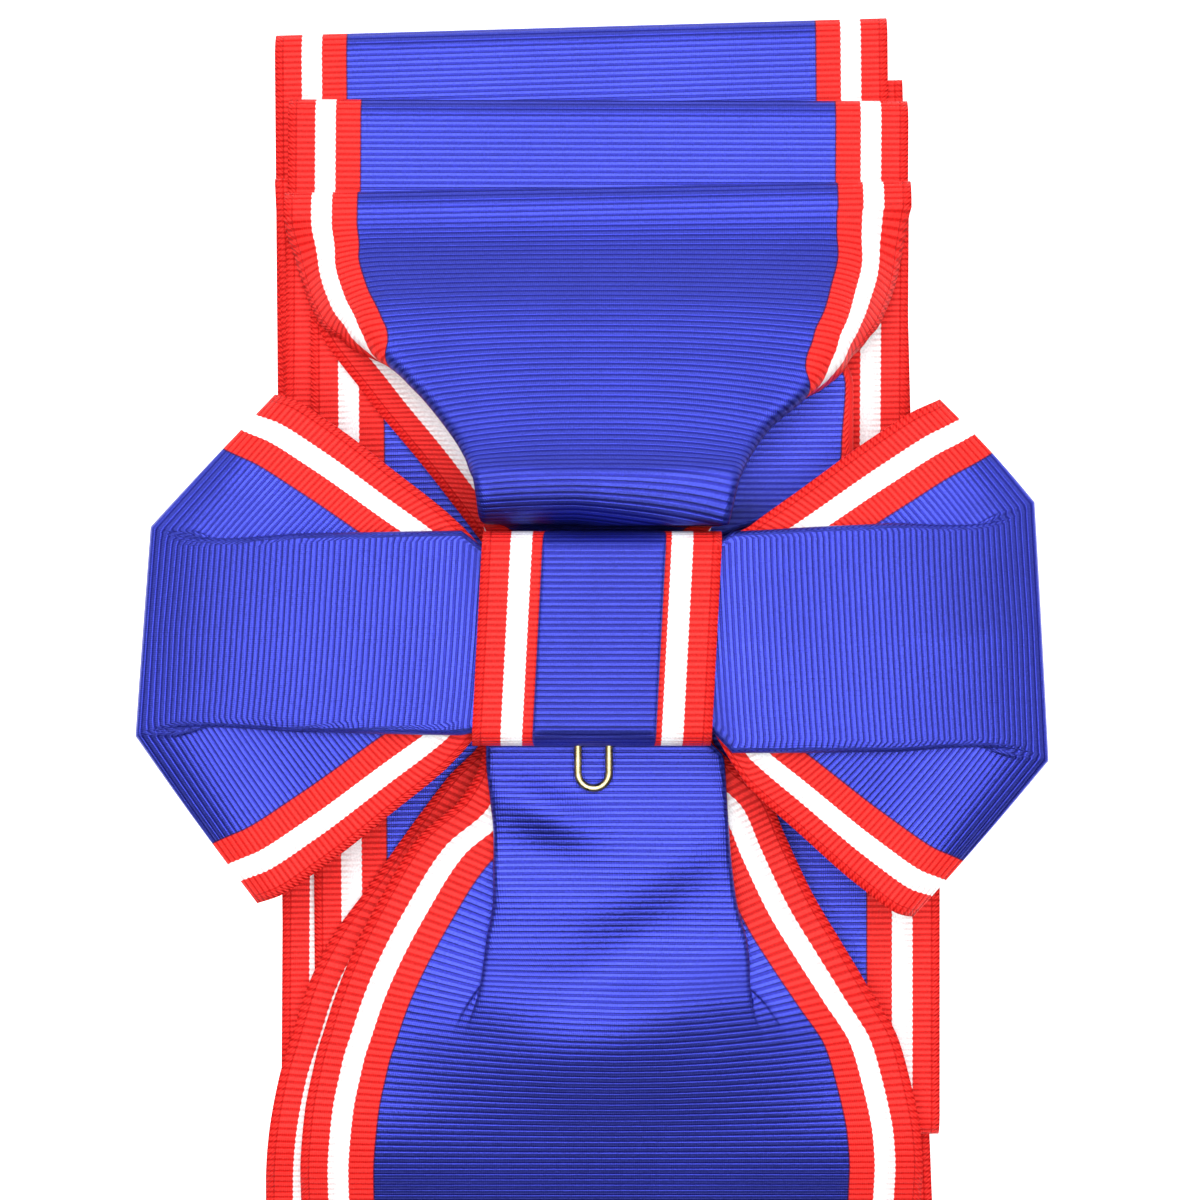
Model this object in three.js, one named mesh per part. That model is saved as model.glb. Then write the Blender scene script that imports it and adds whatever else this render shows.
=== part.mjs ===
import * as THREE from 'three';

// The sash of an order: a long ribbed riband, blue with red, white and red edges.
// Its loop is folded in zigzag lays, and a box-pleated bow with a knot band and two tails lies on its ends.
// Millimetres, +Z up, +Y towards the packet's top fold. The knot's centre is the working origin.

// Driving dimensions
const ribandWidth = 96;
const clothWall = 1.0;
const clothGap = 0.35;
const packetLength = 188;
const knotWidth = 35.2;
const knotLength = 32.4;
const knotCrown = 1.1;
const bowReach = 67;
const bowSpread = 77;
const bowDrop = 8;
const loopDepth = 9;
const tailLength = 91;
const foldReach = 3.6;
const ringWidth = 4.7;
const ringStraight = 2.3;
const ringWire = 1.05;
const seat = 0.3;
const endGap = 1;

const clothColour = 0x1d62a8;
const brassColour = 0xc9a55a;

// Levels: each lay of cloth lies one pitch above the last
const pitch = clothWall + clothGap;
const level = (k) => clothWall / 2 + k * pitch;
const backEndZ = level(12);
const frontEndZ = level(15);
const ringZ = frontEndZ + clothWall / 2 + seat + ringWire / 2;
const knotBackZ = ringZ + ringWire / 2 + seat + clothWall / 2;
const bowMiddleZ = knotBackZ + 3.5 * pitch;
const knotFrontZ = knotBackZ + 7 * pitch;
const poufTopZ = knotFrontZ + clothWall;

const halfWidth = ribandWidth / 2;
const point = (x, y, z) => new THREE.Vector3(x, y, z);
const mix = (a, b, t) => a + (b - a) * t;

// Reads a table whose rows are sorted by their first column, blending between the rows
function readTable(table, key, at) {
  const down = table[0][key] > table[table.length - 1][key];
  const before = (a, b) => (down ? a > b : a < b);
  let i = 1;
  while (i < table.length - 1 && before(table[i][key], at)) i += 1;
  const [low, high] = [table[i - 1], table[i]];
  const t = THREE.MathUtils.clamp((at - low[key]) / (high[key] - low[key]), 0, 1);
  const row = {};
  for (const name of Object.keys(low)) row[name] = mix(low[name], high[name], t);
  return row;
}

// A closed wall of cloth round a grid of points in its middle surface
function clothSolid(rows, closed = false) {
  const rowCount = rows.length;
  const columnCount = rows[0].length;
  const rowAt = (i) => rows[closed ? (i + rowCount) % rowCount : THREE.MathUtils.clamp(i, 0, rowCount - 1)];
  const step = (from, here, to) => {
    const behind = here.clone().sub(from);
    const ahead = to.clone().sub(here);
    return behind.normalize().add(ahead.normalize()).normalize();
  };
  const positions = [];
  for (let i = 0; i < rowCount; i += 1) {
    for (let j = 0; j < columnCount; j += 1) {
      const here = rows[i][j];
      const along = step(rowAt(i - 1)[j], here, rowAt(i + 1)[j]);
      const across = step(rows[i][Math.max(j - 1, 0)], here, rows[i][Math.min(j + 1, columnCount - 1)]);
      const normal = across.cross(along).normalize().multiplyScalar(clothWall / 2);
      positions.push(...here.clone().add(normal).toArray(), ...here.clone().sub(normal).toArray());
    }
  }
  const id = (i, j, side) => (((i % rowCount) * columnCount) + j) * 2 + side;
  const faces = [];
  const quad = (a, b, c, d) => faces.push(a, b, c, a, c, d);
  const spans = closed ? rowCount : rowCount - 1;
  for (let i = 0; i < spans; i += 1) {
    for (let j = 0; j < columnCount - 1; j += 1) {
      quad(id(i, j, 0), id(i, j + 1, 0), id(i + 1, j + 1, 0), id(i + 1, j, 0));
      quad(id(i, j, 1), id(i + 1, j, 1), id(i + 1, j + 1, 1), id(i, j + 1, 1));
    }
    const last = columnCount - 1;
    quad(id(i, 0, 1), id(i, 0, 0), id(i + 1, 0, 0), id(i + 1, 0, 1));
    quad(id(i, last, 0), id(i, last, 1), id(i + 1, last, 1), id(i + 1, last, 0));
  }
  if (!closed) {
    const end = rowCount - 1;
    for (let j = 0; j < columnCount - 1; j += 1) {
      quad(id(0, j, 1), id(0, j + 1, 1), id(0, j + 1, 0), id(0, j, 0));
      quad(id(end, j, 0), id(end, j + 1, 0), id(end, j + 1, 1), id(end, j, 1));
    }
  }
  const geometry = new THREE.BufferGeometry();
  geometry.setAttribute('position', new THREE.Float32BufferAttribute(positions, 3));
  geometry.setIndex(faces);
  return geometry;
}

// The folded loop
// Folds in the order that the riband takes: the lays on both sides, the fold's middle and its lean.
// x is a share of the riband's width, y of the packet's length, and reach of the fold reach.
const folds = [
  { from: 11, to: 8, x: 0.001, y: 0.3665, lean: 0.019, reach: 1.1 },
  { from: 8, to: 7, x: -0.007, y: -0.3537, lean: 0.01, reach: 0.19 },
  { from: 7, to: 4, x: 0.002, y: 0.4426, lean: -0.003, reach: 1 },
  { from: 4, to: 3, x: -0.01, y: -0.452, lean: 0, reach: 0.19 },
  { from: 3, to: 0, x: -0.026, y: 0.5096, lean: 0.0285, reach: 1 },
  { from: 0, to: 1, x: 0, y: -0.479, lean: 0, reach: 0.19 },
  { from: 1, to: 2, x: 0, y: 0.4574, lean: 0.0285, reach: 0.19 },
  { from: 2, to: 5, x: 0.044, y: -0.4904, lean: 0, reach: 0.85 },
  { from: 5, to: 6, x: -0.021, y: 0.379, lean: 0.005, reach: 0.19 },
  { from: 6, to: 9, x: 0.049, y: -0.4085, lean: 0.004, reach: 0.85 },
  { from: 9, to: 10, x: 0.041, y: 0.2723, lean: 0.03, reach: 0.19 },
];

// Columns across a flat lay, as shares of half the width: one for each point of a rolled section
const flatColumns = [1, 0.9, 0.86, 0.8, 0.72, 0.62, 0.5, 0.25, 0];
const acrossFlat = [...flatColumns.map((share) => -share), ...flatColumns.slice(0, -1).reverse()];

function foldRows(fold) {
  const side = Math.sign(fold.y);
  const middleZ = (level(fold.from) + level(fold.to)) / 2;
  const halfHeight = (level(fold.from) - level(fold.to)) / 2;
  const reach = fold.reach * foldReach;
  const turns = Math.abs(fold.from - fold.to) > 1 ? 5 : 4;
  const rows = [];
  for (let i = 0; i <= turns; i += 1) {
    const angle = (Math.PI * i) / turns;
    rows.push(acrossFlat.map((share) => {
      const x = fold.x * ribandWidth + share * halfWidth;
      const y = fold.y * packetLength + fold.lean * x + side * reach * (Math.sin(angle) - 1);
      return point(x, y, middleZ + halfHeight * Math.cos(angle));
    }));
  }
  return rows;
}

// The part of a gathered section to one side of the middle: flat, then rolled under, then a flap inwards.
// Distances across are positive outwards, and drops are positive towards the cloth's underside.
function rolledHalf(reachAcross, roll) {
  const spare = Math.max(halfWidth - reachAcross, 0.02 * roll);
  const quarter = roll * (Math.PI / 2 - 1);
  const turn = spare < quarter
    ? Math.cbrt((6 * spare) / roll)
    : Math.min(Math.PI / 2 + (spare - quarter) / roll, Math.PI);
  const flat = turn < Math.PI / 2 ? reachAcross - roll * Math.sin(turn) : reachAcross - roll;
  const flap = Math.max(halfWidth - flat - roll * turn, clothWall / 3);
  const outline = [[0, 0], [flat * 0.5, 0]];
  for (let i = 0; i <= 4; i += 1) {
    const angle = (turn * i) / 4;
    outline.push([flat + roll * Math.sin(angle), roll * (1 - Math.cos(angle))]);
  }
  const [endAcross, endDrop] = outline[outline.length - 1];
  for (const share of [0.5, 1]) {
    outline.push([
      endAcross + flap * share * Math.cos(turn),
      endDrop + flap * share * Math.sin(turn),
    ]);
  }
  return outline;
}

// A gathered end, from the fold down to the knot. y is a share of the packet's length, left and right are
// shares of half the riband's width, rise is a share of the climb, and roll is in pitches.
const frontEnd = [
  { y: 0.335, left: 0.985, right: 0.985, rise: 0.01, roll: 1.5 },
  { y: 0.3085, left: 0.938, right: 0.945, rise: 0.065, roll: 1.5 },
  { y: 0.287, left: 0.885, right: 0.9, rise: 0.165, roll: 1.1 },
  { y: 0.266, left: 0.8, right: 0.85, rise: 0.26, roll: 0.6 },
  { y: 0.2447, left: 0.712, right: 0.781, rise: 0.345, roll: 0.5 },
  { y: 0.2234, left: 0.617, right: 0.704, rise: 0.43, roll: 0.5 },
  { y: 0.2021, left: 0.5375, right: 0.621, rise: 0.52, roll: 0.5 },
  { y: 0.1809, left: 0.471, right: 0.53, rise: 0.63, roll: 0.5 },
  { y: 0.1596, left: 0.417, right: 0.475, rise: 0.77, roll: 0.5 },
  { y: 0.1436, left: 0.39, right: 0.446, rise: 0.9, roll: 0.5 },
];
// The pouf's turn over the knot's top edge and down behind it: ahead is in pitches from the knot's top
// edge, and drop is a share of the fall from the pouf's crown to the end behind the knot
const poufTurn = [
  { ahead: 5.8, drop: 0, left: 0.366, right: 0.42 },
  { ahead: 3.7, drop: 0.035, left: 0.36, right: 0.405 },
  { ahead: 2, drop: 0.13, left: 0.354, right: 0.392 },
  { ahead: 1, drop: 0.27, left: 0.352, right: 0.386 },
  { ahead: 0.72, drop: 0.45, left: 0.348, right: 0.37 },
  { ahead: 0.74, drop: 0.64, left: 0.345, right: 0.352 },
  { ahead: 0.2, drop: 0.85, left: 0.345, right: 0.345 },
  { ahead: -1.4, drop: 0.97, left: 0.345, right: 0.345 },
  { ahead: -3.2, drop: 1, left: 0.345, right: 0.345 },
];
const backEnd = [
  { y: 0.255, left: 0.875, right: 1.0, rise: 0.55, roll: 0.5 },
  { y: 0.235, left: 0.815, right: 0.93, rise: 1, roll: 0.5 },
  { y: 0.2, left: 0.71, right: 0.78, rise: 1, roll: 0.5 },
  { y: 0.16, left: 0.595, right: 0.6, rise: 1, roll: 0.5 },
  { y: 0.12, left: 0.47, right: 0.45, rise: 1, roll: 0.5 },
  { y: 0.09, left: 0.37, right: 0.37, rise: 1, roll: 0.5 },
  { y: 0.07, left: 0.345, right: 0.345, rise: 1, roll: 0.5 },
];

// Places one gathered section square to the path that the cloth's middle line takes
function gatheredRows(path) {
  return path.map((here, i) => {
    const before = path[Math.max(i - 1, 0)];
    const after = path[Math.min(i + 1, path.length - 1)];
    const run = Math.hypot(after.y - before.y, after.z - before.z);
    const outY = (after.z - before.z) / run;
    const outZ = -(after.y - before.y) / run;
    const place = (across, drop) => point(across, here.y - drop * outY, here.z - drop * outZ);
    const left = rolledHalf(here.left, here.roll);
    const right = rolledHalf(here.right, here.roll + pitch / 2);
    return [
      ...left.slice().reverse().map(([across, drop]) => place(-across, drop)),
      ...right.slice(1).map(([across, drop]) => place(across, drop)),
    ];
  });
}

const knotTopY = knotLength / 2;
const endPoint = (row, y, z) => ({
  y, z, left: row.left * halfWidth, right: row.right * halfWidth, roll: row.roll * pitch,
});

function frontEndPath() {
  const climb = poufTopZ - level(11);
  const fall = poufTopZ - frontEndZ;
  const rising = frontEnd.map((row) => endPoint(row, row.y * packetLength, level(11) + row.rise * climb));
  const turning = poufTurn.map((row) => endPoint(
    { ...row, roll: 0.5 }, knotTopY + row.ahead * pitch, poufTopZ - row.drop * fall,
  ));
  const neck = poufTurn[poufTurn.length - 1];
  return [...rising, ...turning, endPoint({ ...neck, roll: 0.5 }, endGap, frontEndZ)];
}

function backEndPath() {
  const climb = backEndZ - level(10);
  const falling = backEnd.map((row) => endPoint(row, row.y * packetLength, level(10) + row.rise * climb));
  return [...falling, endPoint(backEnd[backEnd.length - 1], endGap, backEndZ)];
}

function ribandRows() {
  return [
    ...gatheredRows(frontEndPath()).reverse(),
    ...folds.flatMap(foldRows),
    ...gatheredRows(backEndPath()),
  ];
}

// Pleated cloth
// One half of a box-pleated section, from the outer edge in to the middle: a wing, a return under the
// panel and the panel itself. Each point has its place between the edge, the inner fold, the outer fold
// and the middle, and its depth under the panel, in pitches.
function pleatHalf(edge, inner, outer, middle) {
  const between = (a, b, t) => [mix(a[0], b[0], t), mix(a[1], b[1], t)];
  const wingLength = Math.hypot(edge[0] - inner[0], edge[1] - inner[1]);
  const returnLength = Math.hypot(outer[0] - inner[0], outer[1] - inner[1]);
  const bend = Math.min(pitch / 2, returnLength / 4);
  const wingBend = Math.min(bend / wingLength, 0.4);
  const returnBend = bend / returnLength;
  return [
    [edge, 2],
    [between(edge, inner, 0.5), 2],
    [between(inner, edge, wingBend), 2],
    [inner, 1.5],
    [between(inner, outer, returnBend), 1],
    [between(inner, outer, 1 - returnBend), 1],
    [outer, 0.5],
    [between(outer, middle, 0.06), 0],
    [between(outer, middle, 0.5), 0],
  ];
}

function pleatedSection(lower, upper) {
  const middle = [mix(lower.outer[0], upper.outer[0], 0.5), mix(lower.outer[1], upper.outer[1], 0.5)];
  const half = (side) => pleatHalf(side.edge, side.inner, side.outer, middle);
  return [...half(lower), [middle, 0], ...half(upper).reverse()];
}

// One loop of the bow: run is a share of the loop's length from the knot to its tip. The plan places are
// shares of the bow's reach (x) and of half its spread (y).
const loopPlan = [
  { run: 0, edgeX: 0.283, edgeY: 0.375, innerX: 0.283, innerY: 0.045, outerX: 0.283, outerY: 0.355, depth: 0 },
  { run: 0.09, edgeX: 0.325, edgeY: 0.475, innerX: 0.335, innerY: 0.075, outerX: 0.33, outerY: 0.395, depth: 0.25 },
  { run: 0.3, edgeX: 0.445, edgeY: 0.64, innerX: 0.5, innerY: 0.165, outerX: 0.48, outerY: 0.4, depth: 0.6 },
  { run: 0.55, edgeX: 0.575, edgeY: 0.825, innerX: 0.71, innerY: 0.265, outerX: 0.67, outerY: 0.405, depth: 0.9 },
  { run: 0.8, edgeX: 0.67, edgeY: 0.945, innerX: 0.89, innerY: 0.35, outerX: 0.85, outerY: 0.43, depth: 1 },
  { run: 1, edgeX: 0.695, edgeY: 0.955, innerX: 0.965, innerY: 0.4, outerX: 0.955, outerY: 0.44, depth: 1 },
];
// How much each side of each loop differs: a factor on the places across
const loopSides = { left: { upper: 0.985, lower: 1.02 }, right: { upper: 0.985, lower: 1.07 } };

function loopRow(direction, sides, run, turn) {
  const row = readTable(loopPlan, 'run', run);
  const corner = (name, side, factor) => [
    direction * row[`${name}X`] * bowReach,
    side * mix(1, factor, Math.min(run / loopPlan[2].run, 1)) * row[`${name}Y`] * bowSpread / 2,
  ];
  const sideOf = (side, factor) => ({
    edge: corner('edge', side, factor),
    inner: corner('inner', side, factor),
    outer: corner('outer', side, factor),
  });
  const halfDepth = mix(2.5 * pitch, loopDepth / 2, row.depth);
  const middleZ = mix(bowMiddleZ, bowMiddleZ - bowDrop, row.run ** 1.3);
  const section = pleatedSection(sideOf(-1, sides.lower), sideOf(1, sides.upper));
  return section.map(([[x, y], depth]) => {
    const radius = halfDepth - depth * pitch;
    const spread = Math.min(Math.abs(y) / (bowSpread / 2), 1);
    const outX = direction * Math.cos(spread * 0.8);
    const outY = Math.sign(y) * Math.sin(spread * 0.8);
    const out = radius * Math.sin(turn);
    return point(x + outX * out, y + outY * out, middleZ + radius * Math.cos(turn));
  });
}

function bowRows() {
  const runs = loopPlan.map((row) => row.run);
  const turns = [0.25, 0.5, 0.75].map((share) => share * Math.PI);
  const loop = (direction, sides) => [
    ...runs.map((run) => loopRow(direction, sides, run, 0)),
    ...turns.map((turn) => loopRow(direction, sides, 1, turn)),
    ...runs.slice().reverse().map((run) => loopRow(direction, sides, run, Math.PI)),
  ];
  const leftLoop = loop(-1, loopSides.left);
  const rightLoop = loop(1, loopSides.right);
  return [...leftLoop.reverse(), ...rightLoop];
}

// The knot band goes round the bow only. Its middle is a raised panel over the stripes at each side.
const knotColumns = [
  { across: -1, lift: 0 },
  { across: -0.75, lift: 0 },
  { across: -0.535, lift: 0 },
  { across: -0.5, lift: 0.85 },
  { across: -0.2, lift: 1 },
  { across: 0.2, lift: 1 },
  { across: 0.48, lift: 0.85 },
  { across: 0.515, lift: 0 },
  { across: 0.75, lift: 0 },
  { across: 1, lift: 0 },
];
const knotLean = 0.052;

function knotRows() {
  const halfHeight = (knotFrontZ - knotBackZ) / 2;
  const middleZ = (knotFrontZ + knotBackZ) / 2;
  const bend = 3;
  const straight = knotLength / 2 - clothWall / 2 - bend;
  const path = [];
  for (const share of [1, 0.35, -0.35, -1]) path.push([share * straight, middleZ + halfHeight, 1]);
  for (const angle of [30, 60, 90, 120, 150].map(THREE.MathUtils.degToRad)) {
    path.push([-straight - bend * Math.sin(angle), middleZ + halfHeight * Math.cos(angle), Math.max(0, Math.cos(angle))]);
  }
  for (const share of [-1, 1]) path.push([share * straight, middleZ - halfHeight, 0]);
  for (const angle of [150, 120, 90, 60, 30].map(THREE.MathUtils.degToRad)) {
    path.push([straight + bend * Math.sin(angle), middleZ + halfHeight * Math.cos(angle), Math.max(0, Math.cos(angle))]);
  }
  return path.map(([y, z, front]) => knotColumns.map(({ across, lift }) => {
    const x = (across * knotWidth) / 2 + knotLean * y;
    return point(x, y, z + lift * knotCrown * front);
  }));
}

// The tails: y is a share of the tail's length down from the knot's middle. The plan places are shares of
// half the riband's width. Base and fall are in pitches: how far the wings lie above the highest lay, and
// how far the end drops past the fold of that lay.
const frontTail = [
  { y: 0.011, edgeL: -0.36, outerL: -0.345, outerR: 0.345, edgeR: 0.36, base: 3, fall: 0 },
  { y: 0.17, edgeL: -0.36, outerL: -0.345, outerR: 0.35, edgeR: 0.365, base: 3, fall: 0 },
  { y: 0.2, edgeL: -0.365, outerL: -0.345, outerR: 0.395, edgeR: 0.41, base: 3, fall: 0 },
  { y: 0.265, edgeL: -0.425, outerL: -0.333, outerR: 0.405, edgeR: 0.54, base: 3, fall: 0 },
  { y: 0.33, edgeL: -0.56, outerL: -0.322, outerR: 0.412, edgeR: 0.595, base: 3, fall: 0 },
  { y: 0.43, edgeL: -0.68, outerL: -0.323, outerR: 0.433, edgeR: 0.685, base: 3, fall: 0 },
  { y: 0.51, edgeL: -0.76, outerL: -0.35, outerR: 0.475, edgeR: 0.775, base: 2.9, fall: 0 },
  { y: 0.58, edgeL: -0.815, outerL: -0.4, outerR: 0.54, edgeR: 0.85, base: 2.75, fall: 0 },
  { y: 0.65, edgeL: -0.862, outerL: -0.45, outerR: 0.6, edgeR: 0.94, base: 2.3, fall: 0 },
  { y: 0.74, edgeL: -0.912, outerL: -0.5, outerR: 0.62, edgeR: 0.995, base: 1.6, fall: 0 },
  { y: 0.83, edgeL: -0.937, outerL: -0.5, outerR: 0.6, edgeR: 1.03, base: 1.35, fall: 0 },
  { y: 0.9, edgeL: -0.948, outerL: -0.5, outerR: 0.6, edgeR: 1.04, base: 1.35, fall: 1.3 },
  { y: 0.95, edgeL: -0.95, outerL: -0.5, outerR: 0.6, edgeR: 1.04, base: 1.35, fall: 3 },
  { y: 1, edgeL: -0.95, outerL: -0.5, outerR: 0.6, edgeR: 1.04, base: 1.35, fall: 4 },
];
const backTail = [
  { y: 0.011, edgeL: -0.36, outerL: -0.345, outerR: 0.345, edgeR: 0.36, base: 0, fall: 0 },
  { y: 0.17, edgeL: -0.37, outerL: -0.345, outerR: 0.345, edgeR: 0.36, base: 0, fall: 0 },
  { y: 0.235, edgeL: -0.49, outerL: -0.325, outerR: 0.34, edgeR: 0.45, base: 0, fall: 0 },
  { y: 0.33, edgeL: -0.612, outerL: -0.32, outerR: 0.35, edgeR: 0.55, base: 0, fall: 0 },
  { y: 0.42, edgeL: -0.717, outerL: -0.33, outerR: 0.36, edgeR: 0.64, base: 0, fall: 0 },
  { y: 0.5, edgeL: -0.82, outerL: -0.35, outerR: 0.37, edgeR: 0.72, base: 0, fall: 0 },
  { y: 0.58, edgeL: -0.906, outerL: -0.4, outerR: 0.4, edgeR: 0.79, base: 0, fall: 0 },
  { y: 0.675, edgeL: -0.971, outerL: -0.45, outerR: 0.42, edgeR: 0.86, base: 0, fall: 0 },
  { y: 0.74, edgeL: -1.012, outerL: -0.5, outerR: 0.45, edgeR: 0.9, base: 0, fall: 0 },
  { y: 0.83, edgeL: -1.047, outerL: -0.5, outerR: 0.45, edgeR: 0.925, base: 0, fall: 0 },
  { y: 0.9, edgeL: -1.062, outerL: -0.5, outerR: 0.45, edgeR: 0.93, base: 0, fall: 1.3 },
  { y: 0.95, edgeL: -1.068, outerL: -0.5, outerR: 0.45, edgeR: 0.93, base: 0, fall: 3 },
  { y: 1, edgeL: -1.07, outerL: -0.5, outerR: 0.45, edgeR: 0.93, base: 0, fall: 4 },
];

function tailRows(table) {
  return table.map((row) => {
    const y = -row.y * tailLength;
    const panel = (row.outerR - row.outerL) / 2;
    const opening = (outer, edge) => Math.max((1 - panel - Math.abs(edge - outer)) / 2, 0);
    const side = (outer, edge, sign) => {
      const hidden = Math.max(opening(outer, edge), 0.02);
      return {
        edge: [edge * halfWidth, y],
        inner: [(outer - sign * hidden) * halfWidth, y],
        outer: [outer * halfWidth, y],
      };
    };
    const openness = Math.min(opening(row.outerL, row.edgeL), opening(row.outerR, row.edgeR));
    const stack = THREE.MathUtils.clamp(openness / 0.06, 0.12, 1);
    const baseZ = level(10 + row.base - row.fall);
    const section = pleatedSection(
      side(row.outerL, row.edgeL, -1),
      side(row.outerR, row.edgeR, 1),
    );
    return section.map(([[x, yy], depth]) => point(x, yy, baseZ + (2 - depth) * pitch * stack));
  });
}

// The small brass ring that hangs from under the knot and lies on the front tail
function ringGeometry() {
  const geometry = new THREE.TorusGeometry(ringWidth / 2, ringWire / 2, 6, 18);
  const position = geometry.getAttribute('position');
  for (let i = 0; i < position.count; i += 1) {
    const half = Math.sign(Math.round(position.getY(i) * 1000)) / 2;
    position.setY(i, position.getY(i) + half * ringStraight);
  }
  return geometry;
}

const cloth = () => new THREE.MeshStandardMaterial({ color: clothColour, roughness: 0.8, metalness: 0 });
const brass = new THREE.MeshStandardMaterial({ color: brassColour, roughness: 0.3, metalness: 1 });

const sash = new THREE.Group();
function add(name, geometry, material) {
  const mesh = new THREE.Mesh(geometry, material);
  mesh.name = name;
  sash.add(mesh);
  return mesh;
}

add('sash_riband', clothSolid(ribandRows()), cloth());
add('bow_band', clothSolid(bowRows(), true), cloth());
add('knot_band', clothSolid(knotRows(), true), cloth());
add('tail_back', clothSolid(tailRows(backTail)), cloth());
add('tail_front', clothSolid(tailRows(frontTail)), cloth());
const ring = add('badge_ring', ringGeometry(), brass);
ring.position.set(-0.015 * knotWidth, -knotLength / 2 - 0.09 * knotLength, ringZ);

// The origin is at the middle of the underside
sash.updateMatrixWorld(true);
const box = new THREE.Box3().setFromObject(sash, true);
sash.position.set(-(box.min.x + box.max.x) / 2, -(box.min.y + box.max.y) / 2, -box.min.z);

export default sash;
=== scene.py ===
import math

import bpy
import numpy as np
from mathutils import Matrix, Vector


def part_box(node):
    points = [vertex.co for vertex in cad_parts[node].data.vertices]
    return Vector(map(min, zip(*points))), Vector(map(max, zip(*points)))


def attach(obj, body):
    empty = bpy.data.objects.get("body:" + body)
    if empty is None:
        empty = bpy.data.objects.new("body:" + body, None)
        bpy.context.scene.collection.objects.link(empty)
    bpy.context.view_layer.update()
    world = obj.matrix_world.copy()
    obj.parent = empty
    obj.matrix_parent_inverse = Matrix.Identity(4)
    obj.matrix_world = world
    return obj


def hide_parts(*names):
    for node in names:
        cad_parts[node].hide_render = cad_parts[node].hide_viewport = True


# The folded dress sash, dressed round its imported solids. All shapes are worked out in millimetres about the
# knot's middle, with the surface that it lies on at zero, and are put into metres when a mesh is made.
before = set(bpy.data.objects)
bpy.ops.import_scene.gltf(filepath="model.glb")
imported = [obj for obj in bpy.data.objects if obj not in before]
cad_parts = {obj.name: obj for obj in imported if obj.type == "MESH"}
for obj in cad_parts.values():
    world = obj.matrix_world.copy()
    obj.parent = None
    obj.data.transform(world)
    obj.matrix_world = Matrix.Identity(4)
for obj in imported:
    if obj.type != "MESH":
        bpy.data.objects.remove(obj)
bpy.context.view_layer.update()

MM = 0.001
knot_low, knot_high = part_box("knot_band")
KNOT_CENTRE = np.array([(knot_low[0] + knot_high[0]) / 2, (knot_low[1] + knot_high[1]) / 2, 0.0])

# Cloth sizes, in millimetres
WIDTH = 96.0
HALF = WIDTH / 2
CLOTH = 0.46
RIB = 0.88
PITCH = 1.35
FIRST_LEVEL = 0.5
PACKET = 188.0
FOLD_REACH = 3.6

# Stripes, as distances in from the riband's outer edge
SELVEDGE = 1.25
OUTER_RED = 4.2
WHITE_END = 7.35
INNER_RED = 11.25

# From each edge inwards, this much of the cloth keeps its true places across, stripes and all
TRUE_EDGE = 16.0

KNOT_WIDTH = 35.2
KNOT_LENGTH = 32.4
KNOT_LEAN = 0.052
BOW_REACH = 67.0
BOW_SPREAD = 77.0
BOW_DROP = 8.0
LOOP_DEPTH = 9.0
TAIL_LENGTH = 91.0
END_GAP = 1.0
RING_WIRE = 1.2
RING_WIDTH = 4.7
RING_STRAIGHT = 2.3
SEAT = 0.3
CAD_WALL = 1.0


def level(k):
    return FIRST_LEVEL + k * PITCH


BACK_END_Z = level(12)
FRONT_END_Z = level(15)
RING_Z = FRONT_END_Z + CAD_WALL / 2 + SEAT + RING_WIRE / 2
KNOT_BACK_Z = RING_Z + RING_WIRE / 2 + SEAT + CAD_WALL / 2
KNOT_LEVELS = 7
BOW_MIDDLE_Z = KNOT_BACK_Z + KNOT_LEVELS / 2 * PITCH
KNOT_FRONT_Z = KNOT_BACK_Z + KNOT_LEVELS * PITCH
POUF_TOP_Z = KNOT_FRONT_Z + CAD_WALL


# Tables and curves
def table(names, *rows):
    """A table with named columns, each a numpy array."""
    return dict(zip(names.split(), np.array(rows, float).T))


def smooth(x, y, at):
    """Reads a curve through the points (x, y) that never swings past them."""
    step = np.diff(x)
    slope = np.diff(y) / step
    tangent = np.zeros(len(y))
    for i in range(1, len(y) - 1):
        if slope[i - 1] * slope[i] > 0:
            near, far = 2 * step[i] + step[i - 1], step[i] + 2 * step[i - 1]
            tangent[i] = (near + far) / (near / slope[i - 1] + far / slope[i])
    tangent[0], tangent[-1] = slope[0], slope[-1]
    at = np.clip(at, x[0], x[-1])
    i = np.clip(np.searchsorted(x, at) - 1, 0, len(step) - 1)
    t = (at - x[i]) / step[i]
    return (
        y[i] * (1 + 2 * t) * (1 - t) ** 2
        + tangent[i] * step[i] * t * (1 - t) ** 2
        + y[i + 1] * t * t * (3 - 2 * t)
        + tangent[i + 1] * step[i] * t * t * (t - 1)
    )


def read(tab, key, at):
    """Every column of a table, read smoothly at one value of its key column."""
    return {name: float(smooth(tab[key], column, at)) for name, column in tab.items()}


def mix(a, b, t):
    return a + (b - a) * t


def ease(t):
    """A share from 0 to 1 that starts and stops softly."""
    return t * t * (3 - 2 * t)


def lengths(points):
    """The distance along a line of points, from its first."""
    return np.concatenate([[0.0], np.cumsum(np.linalg.norm(np.diff(points, axis=0), axis=1))])


def spread(outline, count, bend_share=0.45):
    """Puts columns along an outline, closer together where it bends. Gives them and their places along it."""
    run = lengths(outline)
    steps = np.diff(outline, axis=0)
    steps /= np.maximum(np.linalg.norm(steps, axis=1, keepdims=True), 1e-9)
    turn = np.arccos(np.clip((steps[1:] * steps[:-1]).sum(axis=1), -1, 1))
    bend = np.concatenate([[0.0], np.cumsum(np.concatenate([turn, [0.0]]))])
    weight = run / run[-1] * (1 - bend_share) + bend / max(bend[-1], 1.0) * bend_share
    weight = weight / weight[-1]
    at = np.interp(np.linspace(0, 1, count), weight, run)
    return np.stack([np.interp(at, run, outline[:, k]) for k in range(3)], axis=1), at


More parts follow.
